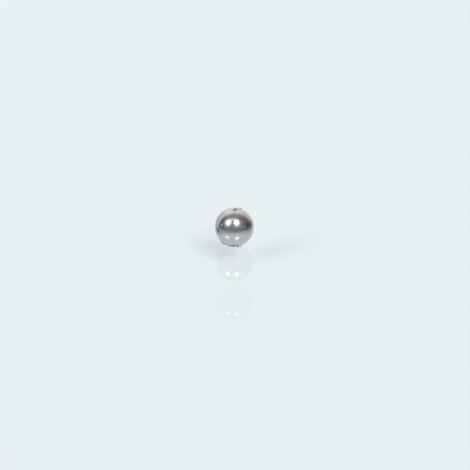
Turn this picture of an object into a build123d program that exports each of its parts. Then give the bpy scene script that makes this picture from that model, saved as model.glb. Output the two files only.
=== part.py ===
from build123d import *
import os

# A loose steel ball, ground and lapped to a true sphere. It is one solid piece of
# through-hardened steel, with no flat, seam, hole or core.
# Millimetres, +Z up, origin at the centre of the ball.

# Driving dimension
ball_diameter = 3.175  # an eighth of an inch, a standard size for loose balls

# Sizes worked out from it
ball_radius = ball_diameter / 2

# Half a turn of arc, from the lowest point of the ball up to its crown
lowest_point_deg = -90
half_turn_deg = 180


def half_round_profile():
    # Half of the ball's cross-section, with its straight side on the Z axis
    with BuildSketch(Plane.XZ) as profile:
        with BuildLine():
            outer_arc = CenterArc((0, 0), ball_radius, lowest_point_deg, half_turn_deg)
            Line(outer_arc @ 1, outer_arc @ 0)
        make_face()
    return profile.sketch


def make_ball():
    # One full turn of the profile about Z gives the sphere
    ball = revolve(half_round_profile(), axis=Axis.Z)
    ball.label = "ball"
    return ball


os.makedirs("parts", exist_ok=True)
export_step(make_ball(), "parts/ball.step")
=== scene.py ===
import bpy
import math
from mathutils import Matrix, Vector


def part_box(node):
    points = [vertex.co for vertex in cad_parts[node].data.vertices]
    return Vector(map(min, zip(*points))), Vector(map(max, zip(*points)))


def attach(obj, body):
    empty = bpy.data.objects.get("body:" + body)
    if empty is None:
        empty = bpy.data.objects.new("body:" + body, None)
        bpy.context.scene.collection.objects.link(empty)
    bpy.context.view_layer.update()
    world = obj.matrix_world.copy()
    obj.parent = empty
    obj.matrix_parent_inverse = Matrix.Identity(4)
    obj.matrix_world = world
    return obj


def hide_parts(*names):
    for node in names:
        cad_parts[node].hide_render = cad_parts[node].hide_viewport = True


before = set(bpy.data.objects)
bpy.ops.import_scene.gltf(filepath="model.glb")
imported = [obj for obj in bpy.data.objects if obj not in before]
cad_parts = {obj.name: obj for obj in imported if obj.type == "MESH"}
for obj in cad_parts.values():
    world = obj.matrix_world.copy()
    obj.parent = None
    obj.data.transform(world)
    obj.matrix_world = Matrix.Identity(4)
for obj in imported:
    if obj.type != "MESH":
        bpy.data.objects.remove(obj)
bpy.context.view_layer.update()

ballLow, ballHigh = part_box("ball")
ballRadius = (ballHigh[2] - ballLow[2]) / 2
print("frame loaded, ball radius", round(ballRadius * 1000, 4), "mm")


def towards(azimuth, elevation):  # azimuth 0 is the camera's side, positive to the right
    across, up = math.radians(azimuth), math.radians(elevation)
    return Vector((math.sin(across) * math.cos(up), -math.cos(across) * math.cos(up), math.sin(up)))


def addNode(tree, kind, settings=None, values=None):
    node = tree.nodes.new(kind)
    for name, value in (settings or {}).items():
        setattr(node, name, value)
    for socket, value in (values or {}).items():
        feed(tree, value, node.inputs[socket])
    return node


def feed(tree, value, socket):  # a socket is linked, anything else is set as the value
    if isinstance(value, bpy.types.NodeSocket):
        tree.links.new(value, socket)
    else:
        socket.default_value = value


def calc(tree, operation, first, second=None, third=None, clamp=False):
    node = addNode(tree, "ShaderNodeMath", {"operation": operation, "use_clamp": clamp})
    for socket, value in zip(node.inputs, (first, second, third)):
        if value is not None:
            feed(tree, value, socket)
    return node.outputs[0]


def vectorCalc(tree, operation, first, second=None, scale=None):
    node = addNode(tree, "ShaderNodeVectorMath", {"operation": operation})
    feed(tree, first, node.inputs[0])
    if second is not None:
        feed(tree, second, node.inputs[1])
    if scale is not None:
        feed(tree, scale, node.inputs["Scale"])
    return node.outputs["Value" if operation in ("DOT_PRODUCT", "LENGTH") else "Vector"]


def ramp(tree, value, start, end, low=0.0, high=1.0):  # a smooth step from low to high
    node = addNode(tree, "ShaderNodeMapRange", {"interpolation_type": "SMOOTHSTEP"}, {
        "Value": value, "From Min": start, "From Max": end, "To Min": low, "To Max": high})
    return node.outputs["Result"]


def noise(tree, vector, scale, detail=2.0, roughness=0.5, seed=None):
    settings = {"noise_dimensions": "3D" if seed is None else "4D"}
    values = {"Vector": vector, "Scale": scale, "Detail": detail, "Roughness": roughness}
    if seed is not None:
        values["W"] = seed
    return addNode(tree, "ShaderNodeTexNoise", settings, values).outputs["Fac"]


def mixColour(tree, share, under, over):
    node = addNode(tree, "ShaderNodeMix", {"data_type": "RGBA"})
    feed(tree, share, node.inputs[0])
    feed(tree, under, node.inputs[6])  # its colour sockets share their names, so they go by number
    feed(tree, over, node.inputs[7])
    return node.outputs[2]


def sockets(kind, *names):
    return [(name, "NodeSocket" + kind) for name in names]


def newTree(name, kind, inputs, outputs):
    tree = bpy.data.node_groups.new(name, kind)
    for label, socketKind in inputs:
        tree.interface.new_socket(name=label, in_out="INPUT", socket_type=socketKind)
    for label, socketKind in outputs:
        tree.interface.new_socket(name=label, in_out="OUTPUT", socket_type=socketKind)
    return tree, tree.nodes.new("NodeGroupInput").outputs, tree.nodes.new("NodeGroupOutput").inputs


def placeGroup(tree, group, values):
    return addNode(tree, "ShaderNodeGroup", {"node_tree": group}, values).outputs


def newMaterial(name):
    material = bpy.data.materials.new(name)
    material.use_nodes = True
    material.node_tree.nodes.clear()
    return material, material.node_tree


# Steel finish: shader groups first, then the material that uses them
steel = {
    "colour": (0.56, 0.56, 0.555, 1.0),  # bare hardened steel
    "roughness": 0.055,  # lapped to a mirror
    "lappingDirections": 7,
    "arcsPerMillimetre": 11.0,
    "arcWidth": 0.025,  # share of the spacing
    "arcsKept": 0.58,  # a higher number keeps fewer arcs
    "arcFade": 0.08,  # how softly a kept stretch ends
    "arcPatchesPerMillimetre": 1.4,
    "arcRoughness": 0.10,
    "arcHeight": -0.5,
    "hazePerMillimetre": 0.9,
    "hazePatches": (0.42, 0.72),  # levels of that noise where the haze starts and is full
    "hazeMottlePerMillimetre": 14.0,
    "hazeMottle": (0.3, 0.8),  # levels of the finer noise, likewise
    "hazeLeast": 0.4,  # share of the haze that the mottling always leaves
    "hazeRoughness": 0.06,
    "pitsPerMillimetre": 4.0,
    "pitSize": 0.05,
    "pitCore": 0.4,  # share of a pit's size that is at full depth
    "pitColour": (0.2, 0.19, 0.18, 1.0),
    "pitDarkness": 0.6,
    "pitRoughness": 0.3,
    "pitHeight": -1.0,
    "marksDark": (0.16, 0.16, 0.162, 1.0),
    "marksPale": (0.32, 0.315, 0.30, 1.0),
    "marksStart": (0.36, 0.56),  # nearness to a trace where a mark starts and is full
    "marksFray": 0.2,  # how far noise moves that nearness up and down
    "marksFrayPerMillimetre": 30.0,
    "marksPatchesPerMillimetre": 16.0,
    "marksPatches": (0.35, 0.65),  # levels of the noise where it turns from dark to pale
    "marksGrainPerMillimetre": 60.0,
    "marksGrainHeight": 2.0,
    "marksMetal": 0.1,  # what a mark leaves of the metal's look
    "marksRoughness": 0.7,
    "reliefStrength": 0.05,  # the relief is only just there
    "reliefDepth": 0.00001,  # metres
}


def lappingArcs():  # fine arcs left by the lapping plates: slices of the ball, kept here and there
    tree, given, wanted = newTree(
        "lappingArcs", "ShaderNodeTree",
        sockets("Vector", "Vector") + sockets("Float", "Per Millimetre", "Line Width", "Kept", "Fade"),
        sockets("Float", "Lines"))
    keptFully = calc(tree, "ADD", given["Kept"], given["Fade"])
    directions = steel["lappingDirections"]
    lines = 0.0
    for index in range(directions):
        height = 1 - (2 * index + 1) / directions  # the directions are spread on a spiral
        turn = index * math.pi * (3 - math.sqrt(5))
        flat = math.sqrt(1 - height * height)
        axis = (flat * math.cos(turn), flat * math.sin(turn), height)
        ownStart = 17.3 * index + 50  # each direction has its own stretch of the pattern
        ownPlace = (3.1 * index, 5.7 * index, 1.9 * index)
        along = vectorCalc(tree, "DOT_PRODUCT", given["Vector"], axis)
        along = calc(tree, "MULTIPLY_ADD", along, given["Per Millimetre"], ownStart)
        slices = addNode(tree, "ShaderNodeTexVoronoi", {"voronoi_dimensions": "1D"}, {
            "W": along, "Scale": 1.0})
        line = ramp(tree, slices.outputs["Distance"], given["Line Width"], 0.0)
        shifted = vectorCalc(tree, "ADD", given["Vector"], ownPlace)
        patches = noise(tree, shifted, steel["arcPatchesPerMillimetre"], detail=3.0)
        patches = ramp(tree, patches, given["Kept"], keptFully)
        lines = calc(tree, "MAXIMUM", lines, calc(tree, "MULTIPLY", line, patches))
    feed(tree, lines, wanted["Lines"])
    return tree


def handlingHaze():  # broad soft patches where the polish is a little duller
    tree, given, wanted = newTree(
        "handlingHaze", "ShaderNodeTree", sockets("Vector", "Vector"), sockets("Float", "Haze"))
    broad = noise(tree, given["Vector"], steel["hazePerMillimetre"], detail=4.0, roughness=0.6)
    broad = ramp(tree, broad, *steel["hazePatches"])
    fine = noise(tree, given["Vector"], steel["hazeMottlePerMillimetre"])
    fine = ramp(tree, fine, *steel["hazeMottle"])
    fine = calc(tree, "MULTIPLY_ADD", fine, 1.0 - steel["hazeLeast"], steel["hazeLeast"])
    feed(tree, calc(tree, "MULTIPLY", broad, fine), wanted["Haze"])
    return tree


def microPits():  # a few pin-point pits
    tree, given, wanted = newTree(
        "microPits", "ShaderNodeTree",
        sockets("Vector", "Vector") + sockets("Float", "Per Millimetre", "Size"),
        sockets("Float", "Pits"))
    cells = addNode(tree, "ShaderNodeTexVoronoi", {}, {
        "Vector": given["Vector"], "Scale": given["Per Millimetre"]})
    core = calc(tree, "MULTIPLY", given["Size"], steel["pitCore"])
    feed(tree, ramp(tree, cells.outputs["Distance"], given["Size"], core), wanted["Pits"])
    return tree


def makeSteel():
    material, tree = newMaterial("polishedSteel")
    place = addNode(tree, "ShaderNodeTexCoord").outputs["Object"]
    millimetres = vectorCalc(tree, "SCALE", place, scale=1000.0)
    arcs = placeGroup(tree, lappingArcs(), {
        "Vector": millimetres, "Per Millimetre": steel["arcsPerMillimetre"],
        "Line Width": steel["arcWidth"], "Kept": steel["arcsKept"], "Fade": steel["arcFade"]})["Lines"]
    haze = placeGroup(tree, handlingHaze(), {"Vector": millimetres})["Haze"]
    pits = placeGroup(tree, microPits(), {
        "Vector": millimetres, "Per Millimetre": steel["pitsPerMillimetre"],
        "Size": steel["pitSize"]})["Pits"]

    # Dark marks: dried dirt on the crown, and dark marks along the underside near where the ball meets
    # the glass
    marks = addNode(tree, "ShaderNodeAttribute", {"attribute_name": "marks"}).outputs["Fac"]
    fray = noise(tree, millimetres, steel["marksFrayPerMillimetre"], detail=4.0, roughness=0.6)
    fray = calc(tree, "MULTIPLY_ADD", fray, 2 * steel["marksFray"], -steel["marksFray"])
    marksMask = ramp(tree, calc(tree, "ADD", marks, fray), *steel["marksStart"])
    patches = noise(tree, millimetres, steel["marksPatchesPerMillimetre"], detail=3.0, roughness=0.6)
    patches = ramp(tree, patches, *steel["marksPatches"])
    marksColour = mixColour(tree, patches, steel["marksDark"], steel["marksPale"])

    shader = addNode(tree, "ShaderNodeBsdfPrincipled")
    pitShade = calc(tree, "MULTIPLY", pits, steel["pitDarkness"])
    bare = mixColour(tree, pitShade, steel["colour"], steel["pitColour"])
    feed(tree, mixColour(tree, marksMask, bare, marksColour), shader.inputs["Base Color"])
    metal = calc(tree, "MULTIPLY_ADD", marksMask, steel["marksMetal"] - 1.0, 1.0)
    feed(tree, metal, shader.inputs["Metallic"])
    rough = calc(tree, "MULTIPLY_ADD", haze, steel["hazeRoughness"], steel["roughness"])
    rough = calc(tree, "MULTIPLY_ADD", arcs, steel["arcRoughness"], rough)
    rough = calc(tree, "MULTIPLY_ADD", pits, steel["pitRoughness"], rough)
    rough = calc(tree, "MULTIPLY_ADD", marksMask, steel["marksRoughness"], rough, clamp=True)
    feed(tree, rough, shader.inputs["Roughness"])
    relief = calc(tree, "MULTIPLY", pits, steel["pitHeight"])
    relief = calc(tree, "MULTIPLY_ADD", arcs, steel["arcHeight"], relief)
    grainHeight = calc(tree, "MULTIPLY", marksMask, steel["marksGrainHeight"])
    grain = noise(tree, millimetres, steel["marksGrainPerMillimetre"])
    relief = calc(tree, "MULTIPLY_ADD", grain, grainHeight, relief)
    bump = addNode(tree, "ShaderNodeBump", {}, {
        "Strength": steel["reliefStrength"], "Distance": steel["reliefDepth"], "Height": relief})
    feed(tree, bump.outputs["Normal"], shader.inputs["Normal"])
    output = addNode(tree, "ShaderNodeOutputMaterial")
    feed(tree, shader.outputs[0], output.inputs["Surface"])
    return material


steelFinish = makeSteel()
print("steel finish made")

# The ball: a cube of fine faces blown up to a sphere, with dark traces raised from it: dried dirt on the
# crown, and dark marks along the underside near where it meets the glass
ball = {
    "facesPerSide": 112,
    "raggedness": 0.03,  # of the marks' edges, in ball radii
    "ragsPerRadius": 14.0,
    "lumpiness": 0.5,  # of its thickness
    "lumpsPerRadius": 40.0,
    "marksSlope": (0.5, 0.9),  # nearness to a trace where a mark starts to rise and is full
    "routeSteps": 24,
    "seed": 4.0,
}
# Each trace: a route of four directions from the ball's centre (+x right, -y to the camera, +z up),
# half width and thickness in ball radii, and density (1 hides the steel, 0.4 is a see-through film)
marksTraces = {
    "crownFleck": {
        "route": ((0.01, -0.13, 1), (0.04, -0.09, 1), (0.06, -0.05, 1), (0.07, 0.01, 1)),
        "halfWidth": 0.088, "thickness": 0.024, "density": 1.0},
    "crownFilm": {
        "route": ((0.08, -0.05, 1), (0.15, 0.01, 0.98), (0.22, 0.07, 0.97), (0.29, 0.12, 0.95)),
        "halfWidth": 0.038, "thickness": 0.005, "density": 1.0},
    "crownHaze": {
        "route": ((-0.05, -0.12, 0.99), (0.04, -0.12, 0.99), (0.12, -0.10, 0.99), (0.24, -0.06, 0.97)),
        "halfWidth": 0.070, "thickness": 0.002, "density": 0.40},
    "crownCrumb": {
        "route": ((0.27, 0.10, 0.95), (0.30, 0.12, 0.94), (0.32, 0.15, 0.94), (0.33, 0.18, 0.93)),
        "halfWidth": 0.055, "thickness": 0.024, "density": 1.0},
    # Dark marks along the underside, near where the ball meets the glass
    "undersideDarkBand": {
        "route": (
            (-0.63, -0.466, -0.62), (-0.46, -0.52, -0.74), (-0.20, -0.58, -0.80), (0.04, -0.62, -0.785)),
        "halfWidth": 0.120, "thickness": 0.004, "density": 0.47},
    "undersideStart": {
        "route": (
            (-0.655, -0.39, -0.645), (-0.61, -0.405, -0.68),
            (-0.565, -0.415, -0.71), (-0.52, -0.43, -0.74)),
        "halfWidth": 0.055, "thickness": 0.026, "density": 0.5},
    "undersideRim": {
        "route": (
            (-0.60, -0.39, -0.70), (-0.45, -0.425, -0.785),
            (-0.22, -0.46, -0.86), (-0.03, -0.465, -0.885)),
        "halfWidth": 0.030, "thickness": 0.012, "density": 0.55},
    "undersideDarkCore": {
        "route": (
            (-0.03, -0.66, -0.75), (0.0, -0.66, -0.75), (0.02, -0.655, -0.755), (0.05, -0.65, -0.76)),
        "halfWidth": 0.105, "thickness": 0.026, "density": 1.0},
    "undersideLip": {
        "route": (
            (0.13, -0.46, -0.875), (0.21, -0.40, -0.89), (0.29, -0.33, -0.895), (0.35, -0.29, -0.885)),
        "halfWidth": 0.030, "thickness": 0.046, "density": 0.47},
}


def marksTrace():  # nearness to a route laid over the ball: 1 on the route, a half at the half width
    routePoints = ("Start", "Start Handle", "End Handle", "End")
    tree, given, wanted = newTree(
        "marksTrace", "GeometryNodeTree",
        sockets("Vector", "Direction", *routePoints)
        + sockets("Float", "Half Width", "Thickness", "Density", "Wander"),
        sockets("Float", "Nearness", "Relief"))
    curve = addNode(tree, "GeometryNodeCurvePrimitiveBezierSegment", {"mode": "POSITION"}, {
        "Resolution": ball["routeSteps"], **{name: given[name] for name in routePoints}})
    wire = addNode(tree, "GeometryNodeCurveToMesh", {}, {"Curve": curve.outputs["Curve"]})
    here = addNode(tree, "GeometryNodeInputPosition").outputs[0]
    laid = addNode(tree, "GeometryNodeSetPosition", {}, {
        "Geometry": wire.outputs["Mesh"], "Position": vectorCalc(tree, "NORMALIZE", here)})
    near = addNode(tree, "GeometryNodeProximity", {"target_element": "EDGES"}, {
        0: laid.outputs["Geometry"], "Sample Position": given["Direction"]})
    reach = calc(tree, "ADD", near.outputs["Distance"], given["Wander"])
    reach = calc(tree, "DIVIDE", reach, calc(tree, "MULTIPLY", given["Half Width"], -2.0))
    nearness = calc(tree, "ADD", reach, 1.0, clamp=True)
    feed(tree, calc(tree, "MINIMUM", nearness, given["Density"]), wanted["Nearness"])
    relief = ramp(tree, nearness, *ball["marksSlope"], 0.0, given["Thickness"])
    feed(tree, relief, wanted["Relief"])
    return tree


def ballTree(material):
    tree, given, wanted = newTree(
        "ballShape", "GeometryNodeTree",
        sockets("Int", "Faces Per Side") + sockets("Float", "Radius", "Raggedness", "Lumpiness", "Seed"),
        sockets("Geometry", "Geometry"))
    points = calc(tree, "ADD", given["Faces Per Side"], 1.0)
    cube = addNode(tree, "GeometryNodeMeshCube", {}, {
        "Size": (2.0, 2.0, 2.0), "Vertices X": points, "Vertices Y": points, "Vertices Z": points})
    here = addNode(tree, "GeometryNodeInputPosition").outputs[0]
    angles = vectorCalc(tree, "SCALE", here, scale=math.pi / 4)
    even = vectorCalc(tree, "TANGENT", angles)  # keeps the faces alike in size
    unit = vectorCalc(tree, "NORMALIZE", even)
    sphere = addNode(tree, "GeometryNodeSetPosition", {}, {
        "Geometry": cube.outputs["Mesh"],
        "Position": vectorCalc(tree, "SCALE", unit, scale=given["Radius"])})

    direction = vectorCalc(tree, "NORMALIZE", here)
    wander = noise(tree, direction, ball["ragsPerRadius"], detail=3.0, roughness=0.6, seed=given["Seed"])
    wander = calc(tree, "SUBTRACT", wander, 0.5)  # this noise swings about a quarter each way
    wander = calc(tree, "MULTIPLY", wander, calc(tree, "MULTIPLY", given["Raggedness"], 4.0))
    group = marksTrace()
    marks, relief = 0.0, 0.0
    for trace in marksTraces.values():
        start, startHandle, endHandle, end = trace["route"]
        laid = addNode(tree, "GeometryNodeGroup", {"node_tree": group}, {
            "Direction": direction, "Start": start, "Start Handle": startHandle,
            "End Handle": endHandle, "End": end, "Half Width": trace["halfWidth"],
            "Thickness": trace["thickness"], "Density": trace["density"], "Wander": wander}).outputs
        marks = calc(tree, "MAXIMUM", marks, laid["Nearness"])
        relief = calc(tree, "MAXIMUM", relief, laid["Relief"])
    marked = addNode(
        tree, "GeometryNodeStoreNamedAttribute", {"data_type": "FLOAT", "domain": "POINT"},
        {"Geometry": sphere.outputs["Geometry"], "Name": "marks", "Value": marks})

    lumps = noise(tree, direction, ball["lumpsPerRadius"], seed=given["Seed"])
    lumps = calc(tree, "SUBTRACT", lumps, 0.5)
    lumps = calc(tree, "MULTIPLY_ADD", lumps, calc(tree, "MULTIPLY", given["Lumpiness"], 2.0), 1.0)
    lift = calc(tree, "MULTIPLY", calc(tree, "MULTIPLY", relief, lumps), given["Radius"])
    raised = addNode(tree, "GeometryNodeSetPosition", {}, {
        "Geometry": marked.outputs["Geometry"],
        "Offset": vectorCalc(tree, "SCALE", direction, scale=lift)})
    smooth = addNode(tree, "GeometryNodeSetShadeSmooth", {}, {"Geometry": raised.outputs["Geometry"]})
    plain = addNode(tree, "GeometryNodeRealizeInstances", {}, {"Geometry": smooth.outputs["Geometry"]})
    dressed = addNode(tree, "GeometryNodeSetMaterial", {}, {
        "Geometry": plain.outputs["Geometry"], "Material": material})
    feed(tree, dressed.outputs["Geometry"], wanted["Geometry"])
    return tree


def makeBall(material):
    tree = ballTree(material)
    values = {
        "Faces Per Side": ball["facesPerSide"], "Radius": ballRadius, "Raggedness": ball["raggedness"],
        "Lumpiness": ball["lumpiness"], "Seed": ball["seed"]}
    piece = bpy.data.objects.new("steelBall", bpy.data.meshes.new("steelBall"))
    bpy.context.scene.collection.objects.link(piece)
    modifier = piece.modifiers.new("ballShape", "NODES")
    modifier.node_group = tree
    for item in tree.interface.items_tree:
        if item.in_out == "INPUT":
            modifier[item.identifier] = values[item.name]
    graph = bpy.context.evaluated_depsgraph_get()
    shaped = piece.evaluated_get(graph)
    mesh = bpy.data.meshes.new_from_object(shaped, preserve_all_data_layers=True, depsgraph=graph)
    piece.modifiers.remove(modifier)
    piece.data = mesh
    return piece


steelBall = makeBall(steelFinish)
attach(steelBall, "root")
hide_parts("ball")
print("ball made,", len(steelBall.data.polygons), "faces")

# The floor: clear sheet glass over white paper, so the ball is mirrored twice and faintly
floor = {
    "halfSize": 0.6,  # metres
    "gap": 0.003,  # a hair's breadth between the ball and the glass, in ball radii
    "paperColour": (0.806, 0.871, 0.888, 1.0),
    "paperGlow": 0.4,  # share of the paper's light that no shadow takes away
    "paperDepth": 1.12,  # below the glass's top, in ball radii, as seen through the glass
    "glassIndex": 1.52,
    "seenShare": 0.55,  # the camera sees this share of what such glass mirrors
    "ballIndex": 1.62,  # the ball sees all that glass of this index mirrors
    "backShare": 0.6,  # the glass's back mirrors less than its top
    "farShade": (3.0, 22.0, 0.6),  # dimming far away: its start and end in ball radii, light left
    "flankEdge": (1.3, 0.6),  # shares of a dim stretch's size where it starts and is full
}
# Dim stretches of paper that only the ball sees: azimuth, degrees down, spreads across and down in
# degrees, light left
flankShades = {
    "left": (-108, 18, 17, 10, 0.25),
    "leftFront": (-60, 20, 28, 8, 0.80),
    "right": (112, 10, 22, 7, 0.68),
}


def flatSheet(name, height, material):
    size = floor["halfSize"]
    mesh = bpy.data.meshes.new(name)
    corners = [
        (-size, -size, height), (size, -size, height), (size, size, height), (-size, size, height)]
    mesh.from_pydata(corners, [], [(0, 1, 2, 3)])
    mesh.materials.append(material)
    sheet = bpy.data.objects.new(name, mesh)
    bpy.context.scene.collection.objects.link(sheet)
    return sheet


def mirrorShare(tree, strength):  # how much of the light a glass face mirrors
    seen = addNode(tree, "ShaderNodeLightPath").outputs["Is Camera Ray"]
    back = addNode(tree, "ShaderNodeNewGeometry").outputs["Backfacing"]
    lessIndex = floor["glassIndex"] - floor["ballIndex"]
    index = calc(tree, "MULTIPLY_ADD", seen, lessIndex, floor["ballIndex"])
    shine = addNode(tree, "ShaderNodeFresnel", {}, {"IOR": index}).outputs[0]
    shine = calc(tree, "MULTIPLY", shine, calc(tree, "SUBTRACT", 1.0, back))
    share = calc(tree, "MULTIPLY_ADD", seen, floor["seenShare"] - 1.0, 1.0)
    return calc(tree, "MULTIPLY", shine, calc(tree, "MULTIPLY", share, strength))


def mirrorOver(tree, base, strength):  # lays a glass face's mirroring over a plainer shader
    mirror = addNode(tree, "ShaderNodeBsdfGlossy", {}, {"Roughness": 0.0, "Color": (1.0, 1.0, 1.0, 1.0)})
    both = addNode(tree, "ShaderNodeMixShader", {}, {
        0: mirrorShare(tree, strength), 1: base.outputs[0], 2: mirror.outputs[0]})
    output = addNode(tree, "ShaderNodeOutputMaterial")
    feed(tree, both.outputs[0], output.inputs["Surface"])


def flankLight(tree, place, shade):  # the share of light left across one dim stretch of the paper
    azimuth, down, acrossSpread, downSpread, lightLeft = shade
    depth = ballRadius * (1 + floor["gap"] + floor["paperDepth"])
    away = towards(azimuth, 0)
    side = Vector((-away.y, away.x, 0))
    near = depth / math.tan(math.radians(down + downSpread))
    far = depth / math.tan(math.radians(down - downSpread))
    middle = (near + far) / 2
    halfAcross = middle * math.tan(math.radians(acrossSpread))
    along = calc(tree, "SUBTRACT", vectorCalc(tree, "DOT_PRODUCT", place, away), middle)
    along = calc(tree, "DIVIDE", along, (far - near) / 2)
    across = calc(tree, "DIVIDE", vectorCalc(tree, "DOT_PRODUCT", place, side), halfAcross)
    squares = calc(tree, "MULTIPLY", across, across)
    squares = calc(tree, "ADD", calc(tree, "MULTIPLY", along, along), squares)
    edgeStart, edgeEnd = floor["flankEdge"]
    return ramp(tree, calc(tree, "SQRT", squares), edgeStart, edgeEnd, 1.0, lightLeft)


def paperLight(tree):  # the paper's colour, dimmer to the ball alone beside its flanks and far away
    place = addNode(tree, "ShaderNodeTexCoord").outputs["Object"]
    farStart, farEnd, farLeft = floor["farShade"]
    distance = vectorCalc(tree, "LENGTH", place)
    light = ramp(tree, distance, farStart * ballRadius, farEnd * ballRadius, 1.0, farLeft)
    for shade in flankShades.values():
        light = calc(tree, "MULTIPLY", light, flankLight(tree, place, shade))
    toBall = addNode(tree, "ShaderNodeLightPath").outputs["Is Glossy Ray"]
    dim = calc(tree, "MULTIPLY", calc(tree, "SUBTRACT", 1.0, light), toBall)
    return mixColour(tree, dim, floor["paperColour"], (0.0, 0.0, 0.0, 1.0))


def makeFloor():
    top = -ballRadius * (1 + floor["gap"])
    glass, tree = newMaterial("glassFace")
    mirrorOver(tree, addNode(tree, "ShaderNodeBsdfTransparent"), 1.0)
    flatSheet("glassTop", top, glass)

    paper, tree = newMaterial("whitePaper")
    colour = paperLight(tree)
    lit = addNode(tree, "ShaderNodeBsdfDiffuse", {}, {"Color": colour})
    glow = addNode(tree, "ShaderNodeEmission", {}, {"Color": colour, "Strength": 1.0})
    white = addNode(tree, "ShaderNodeMixShader", {}, {
        0: floor["paperGlow"], 1: lit.outputs[0], 2: glow.outputs[0]})
    mirrorOver(tree, white, floor["backShare"])
    flatSheet("paperBacking", top - ballRadius * floor["paperDepth"], paper)


makeFloor()
print("floor made")

# The studio: pale to the camera, even to matt surfaces, and a room with lamps to anything polished
studio = {
    "pale": (0.806, 0.871, 0.888, 1.0),
    "evenLight": 0.51,  # adds up to 1 with the shadow lamps' shares, so colours render as written
    "roomLow": (0.29, 0.295, 0.325, 1.0),
    "roomHigh": (0.43, 0.40, 0.38, 1.0),
    "roomBlend": (0.35, 0.95),  # heights, as the sine of the elevation, between which low turns to high
    "shadowLampWidth": 24.0,  # degrees across
}
# Each card: azimuth and elevation of its centre in degrees, half width and half height in degrees,
# corner power (2 is an ellipse), edge softness, colour
wallCards = {
    "leftOlive": (-100, 20, 24, 28, 2.5, 0.5, (0.20, 0.19, 0.17)),
    "rightBrown": (90, 38, 28, 28, 2.5, 0.5, (0.26, 0.235, 0.225)),
    "rightShade": (86, 14, 24, 12, 2.0, 0.8, (0.15, 0.14, 0.14)),
    "leftDark": (-74, 4, 11, 7, 2.0, 0.6, (0.18, 0.18, 0.19)),
    "leftLow": (-98, 4, 8, 7, 2.0, 0.8, (0.27, 0.26, 0.25)),
    "sheetShade": (115, 51, 8, 10, 2.0, 0.8, (0.40, 0.37, 0.36)),
}
backdrop = (-177, 0, 67, 71.5, 2.0, 0.06, (1.03, 1.05, 1.06))  # the pale sheet behind the ball
backdropCards = {  # lighter and dimmer parts of the sheet
    "top": (179, 58, 15, 11, 2.0, 0.6, (0.88, 0.89, 0.89)),
    "glowLeft": (-157, 37, 16, 12, 2.0, 0.6, (1.10, 1.14, 1.19)),
    "glowRight": (149, 38, 12, 11, 2.0, 0.6, (1.26, 1.28, 1.22)),
    "sideLeft": (-122, 24, 18, 24, 2.0, 0.6, (0.80, 0.81, 0.82)),
    "dimLeft": (-142, 2, 30, 15, 2.0, 0.5, (0.64, 0.67, 0.69)),
    "dimRight": (130, 22, 26, 32, 2.0, 0.5, (0.82, 0.77, 0.79)),
    "edgeRight": (118, 28, 10, 24, 2.0, 0.6, (0.68, 0.65, 0.67)),
}
roomCards = {  # in front of the walls and the sheet, the lamps last
    "rightDark": (98, 2.5, 30, 11, 2.5, 0.5, (0.105, 0.12, 0.138)),
    "rightBlue": (45, -4, 16, 7, 2.0, 0.6, (0.15, 0.15, 0.21)),
    "rightSpot": (65.5, 10.5, 5.5, 4.5, 2.0, 0.6, (0.44, 0.44, 0.46)),
    "leftSpot": (-86, 12.5, 4.5, 4.5, 2.0, 0.6, (0.70, 0.70, 0.70)),
    "leftHalo": (-50, 42, 25, 24, 2.0, 0.5, (0.45, 0.42, 0.41)),
    "rightHalo": (24, 47, 29, 25, 2.0, 0.5, (0.45, 0.42, 0.41)),
    "leftStreak": (-73, 34, 9, 6, 2.0, 0.6, (0.60, 0.55, 0.53)),
    "leftGlow": (-45, 23, 15, 8, 2.0, 0.8, (0.52, 0.53, 0.60)),
    "rightGlow": (16, 26, 18, 9, 2.0, 0.8, (0.52, 0.53, 0.60)),
    "ceilingBounce": (-10, 67, 25, 7, 2.5, 0.5, (0.97, 0.94, 0.91)),
    "leftLamp": (-48.5, 41.5, 14, 14, 2.0, 0.85, (2.3, 2.25, 2.2)),
    "rightLamp": (19, 47.5, 13, 15, 2.0, 0.85, (2.5, 2.5, 2.5)),
    "leftBulb": (-48, 43, 7, 7, 2.0, 0.6, (9.5, 9.5, 9.5)),
    "rightBulb": (18, 48, 7.2, 7.5, 2.0, 0.6, (12.5, 12.5, 12.5)),
}
# Lamps that throw the ball's two soft shadows: direction to the lamp, share of the floor's light
shadowLamps = {
    "leftShadowLamp": ((-1.25, -1.12, 1.0), 0.18),
    "rightShadowLamp": ((0.46, -1.18, 1.0), 0.31),
}


def softCard():  # 1 inside a rounded patch of directions, fading to 0 over its soft edge
    tree, given, wanted = newTree(
        "softCard", "ShaderNodeTree",
        sockets("Vector", "Direction", "Centre", "Right", "Up")
        + sockets("Float", "Half Width", "Half Height", "Corner", "Edge"),
        sockets("Float", "Mask"))
    sides = []
    for axis, size in (("Right", "Half Width"), ("Up", "Half Height")):
        offset = calc(tree, "ABSOLUTE", vectorCalc(tree, "DOT_PRODUCT", given["Direction"], given[axis]))
        offset = calc(tree, "DIVIDE", offset, given[size])
        sides.append(calc(tree, "POWER", offset, given["Corner"]))
    reach = calc(tree, "POWER", calc(tree, "ADD", *sides), calc(tree, "DIVIDE", 1.0, given["Corner"]))
    outerEdge = calc(tree, "ADD", 1.0, given["Edge"])
    innerEdge = calc(tree, "SUBTRACT", 1.0, given["Edge"])
    facing = vectorCalc(tree, "DOT_PRODUCT", given["Direction"], given["Centre"])
    ahead = calc(tree, "GREATER_THAN", facing, 0.0)
    mask = calc(tree, "MULTIPLY", ramp(tree, reach, outerEdge, innerEdge), ahead)
    feed(tree, mask, wanted["Mask"])
    return tree


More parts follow.
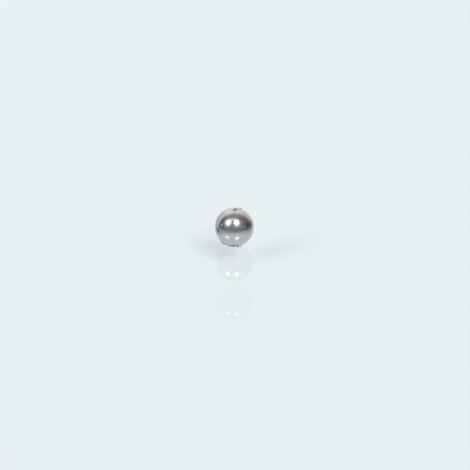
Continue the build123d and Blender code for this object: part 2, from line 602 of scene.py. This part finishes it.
def cardMask(tree, group, direction, place):
    azimuth, elevation, halfWidth, halfHeight, corner, edge = place
    centre = towards(azimuth, elevation)
    side = towards(azimuth + 90, 0)
    return placeGroup(tree, group, {
        "Direction": direction, "Centre": centre, "Right": side, "Up": side.cross(-centre),
        "Half Width": math.sin(math.radians(halfWidth)),
        "Half Height": math.sin(math.radians(halfHeight)),
        "Corner": corner, "Edge": edge})["Mask"]


def paintCards(tree, group, direction, seen, cards):
    for *place, colour in cards.values():
        seen = mixColour(tree, cardMask(tree, group, direction, place), seen, (*colour, 1.0))
    return seen


def paintRoom(tree):  # what the polished ball mirrors
    direction = addNode(tree, "ShaderNodeTexCoord").outputs["Generated"]
    height = addNode(tree, "ShaderNodeSeparateXYZ", {}, {0: direction}).outputs["Z"]
    group = softCard()
    blend = ramp(tree, height, *studio["roomBlend"])
    walls = mixColour(tree, blend, studio["roomLow"], studio["roomHigh"])
    walls = paintCards(tree, group, direction, walls, wallCards)
    *place, paleSheet = backdrop
    sheet = paintCards(tree, group, direction, (*paleSheet, 1.0), backdropCards)
    seen = mixColour(tree, cardMask(tree, group, direction, place), walls, sheet)
    return paintCards(tree, group, direction, seen, roomCards)


def makeStudio():
    world = bpy.data.worlds.new("studio")
    bpy.context.scene.world = world
    world.use_nodes = True
    world.cycles.sampling_method = "NONE"
    tree = world.node_tree
    tree.nodes.clear()
    room = paintRoom(tree)
    path = addNode(tree, "ShaderNodeLightPath").outputs
    beforeMatt = calc(tree, "LESS_THAN", path["Diffuse Depth"], 0.5)
    polished = calc(tree, "MULTIPLY", path["Is Glossy Ray"], beforeMatt)
    even = (studio["evenLight"],) * 3 + (1.0,)
    colour = mixColour(tree, polished, even, room)
    firstBounce = calc(tree, "LESS_THAN", path["Glossy Depth"], 1.5)
    offFloor = calc(tree, "MULTIPLY", path["Is Singular Ray"], firstBounce)  # keeps the open floor even
    straight = calc(tree, "MAXIMUM", path["Is Camera Ray"], offFloor)
    colour = mixColour(tree, straight, colour, studio["pale"])
    background = addNode(tree, "ShaderNodeBackground", {}, {"Color": colour, "Strength": 1.0})
    output = addNode(tree, "ShaderNodeOutputWorld")
    feed(tree, background.outputs[0], output.inputs["Surface"])


def makeShadowLamps():
    for name, (place, share) in shadowLamps.items():
        toLamp = Vector(place).normalized()
        light = bpy.data.lights.new(name, "SUN")
        light.energy = math.pi * share / toLamp.z
        light.angle = math.radians(studio["shadowLampWidth"])
        lamp = bpy.data.objects.new(name, light)
        lamp.rotation_euler = toLamp.to_track_quat("Z", "Y").to_euler()
        lamp.visible_glossy = False
        lamp.visible_camera = False
        bpy.context.scene.collection.objects.link(lamp)


makeStudio()
makeShadowLamps()
print("studio made")

# The camera: the photograph's view, in its 470 x 470 frame
view = {
    "frameSize": 470,
    "lens": 105.0,  # millimetres, as is the sensor
    "sensor": 36.0,
    "elevation": 22.0,  # degrees
    "ballRadiusPixels": 19.6,
    "ballCentrePixels": (234.35, 227.1),
    "nearClip": 0.001,  # metres
    "farClip": 10.0,
}


def makeCamera():
    focalPixels = view["lens"] / view["sensor"] * view["frameSize"]
    distance = ballRadius / math.sin(math.atan(view["ballRadiusPixels"] / focalPixels))
    back = towards(0, view["elevation"])
    tilt = math.radians(view["elevation"])
    up = Vector((0, math.sin(tilt), math.cos(tilt)))
    perPixel = distance / focalPixels
    half = view["frameSize"] / 2
    aim = Vector((1, 0, 0)) * (half - view["ballCentrePixels"][0]) * perPixel
    aim += up * (view["ballCentrePixels"][1] - half) * perPixel
    data = bpy.data.cameras.new("camera")
    data.lens = view["lens"]
    data.sensor_width = view["sensor"]
    data.clip_start = view["nearClip"]
    data.clip_end = view["farClip"]
    camera = bpy.data.objects.new("camera", data)
    camera.location = back * distance
    camera.rotation_euler = (camera.location - aim).to_track_quat("Z", "Y").to_euler()
    bpy.context.scene.collection.objects.link(camera)
    bpy.context.scene.camera = camera


makeCamera()
bpy.context.scene.view_settings.view_transform = "Standard"
print("camera made")
